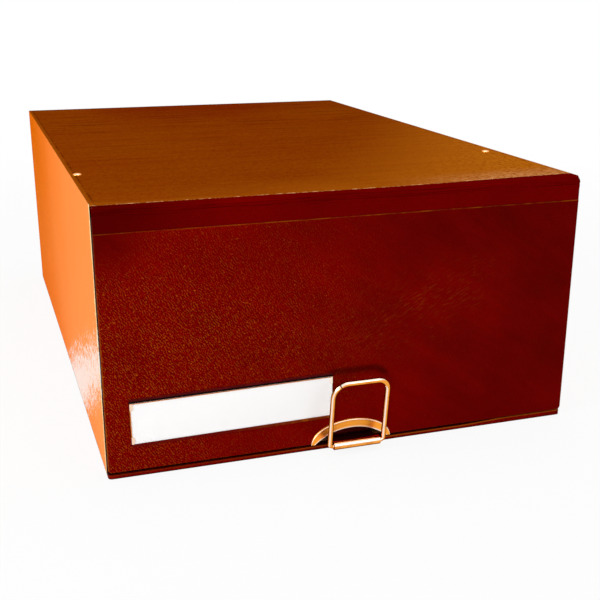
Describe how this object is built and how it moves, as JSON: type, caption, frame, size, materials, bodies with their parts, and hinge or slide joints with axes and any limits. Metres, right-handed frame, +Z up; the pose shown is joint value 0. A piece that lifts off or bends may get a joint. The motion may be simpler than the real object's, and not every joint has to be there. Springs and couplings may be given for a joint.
{
  "type": "document box",
  "caption": "Flat covered document box with a cloth-hinged front flap, a label card in a metal holder, and a wire pull bail on a strap through a rimmed half-moon notch.",
  "frame": {"origin": "centre of the case's footprint on the surface that it stands on", "axes": "+X along the front to the right, +Y from the flap to the back, +Z up"},
  "size_m": [0.245, 0.3825, 0.1319],
  "materials": {
    "hardboard": "matte pressed board",
    "grey_board": "matte pulp board",
    "panel_wood": "plain sawn",
    "base_sheet": "matte covering paper",
    "lid_sheet": "brown leather-grain sheet, satin",
    "side_sheet": "orange-tan sheet, glossy",
    "lining_paper": "matte lining paper",
    "flap_sheet": "maroon leather-grain sheet, satin",
    "hinge_cloth": "maroon book cloth",
    "label_paper": "white card",
    "gilt_metal": "bright plated",
    "plain_steel": "plain"
  },
  "bodies": {
    "case": {"bottom_board": "hardboard", "top_board": "hardboard", "left_panel": "panel_wood", "right_panel": "panel_wood", "back_panel": "panel_wood", "bottom_cover": "base_sheet", "top_cover": "lid_sheet", "left_cover": "side_sheet", "right_cover": "side_sheet", "back_cover": "lid_sheet", "floor_lining": "lining_paper", "roof_lining": "lining_paper", "left_lining": "lining_paper", "right_lining": "lining_paper", "back_lining": "lining_paper", "sill_strip": "flap_sheet", "hinge_strip_upper": "hinge_cloth", "lid_tacks": "gilt_metal"},
    "flap": {"flap_board": "grey_board", "flap_cover": "flap_sheet", "flap_lining": "lining_paper", "hinge_strip_lower": "hinge_cloth", "label_holder": "gilt_metal", "label_card": "label_paper", "notch_rim": "gilt_metal", "rim_back_plate": "plain_steel", "pull_strap": "gilt_metal", "strap_rivets": "plain_steel"},
    "bail": {"bail": "gilt_metal"}
  },
  "joints": [
    {"name": "flap_hinge", "type": "hinge", "parent": "case", "child": "flap", "pos_m": [0, -0.184, 0.1272], "axis": [-1, 0, 0], "range_deg": [0, 175]},
    {"name": "bail_pivot", "type": "hinge", "parent": "flap", "child": "bail", "pos_m": [0, -0.1924, 0.005], "axis": [1, 0, 0], "range_deg": [-15, 84]}
  ]
}
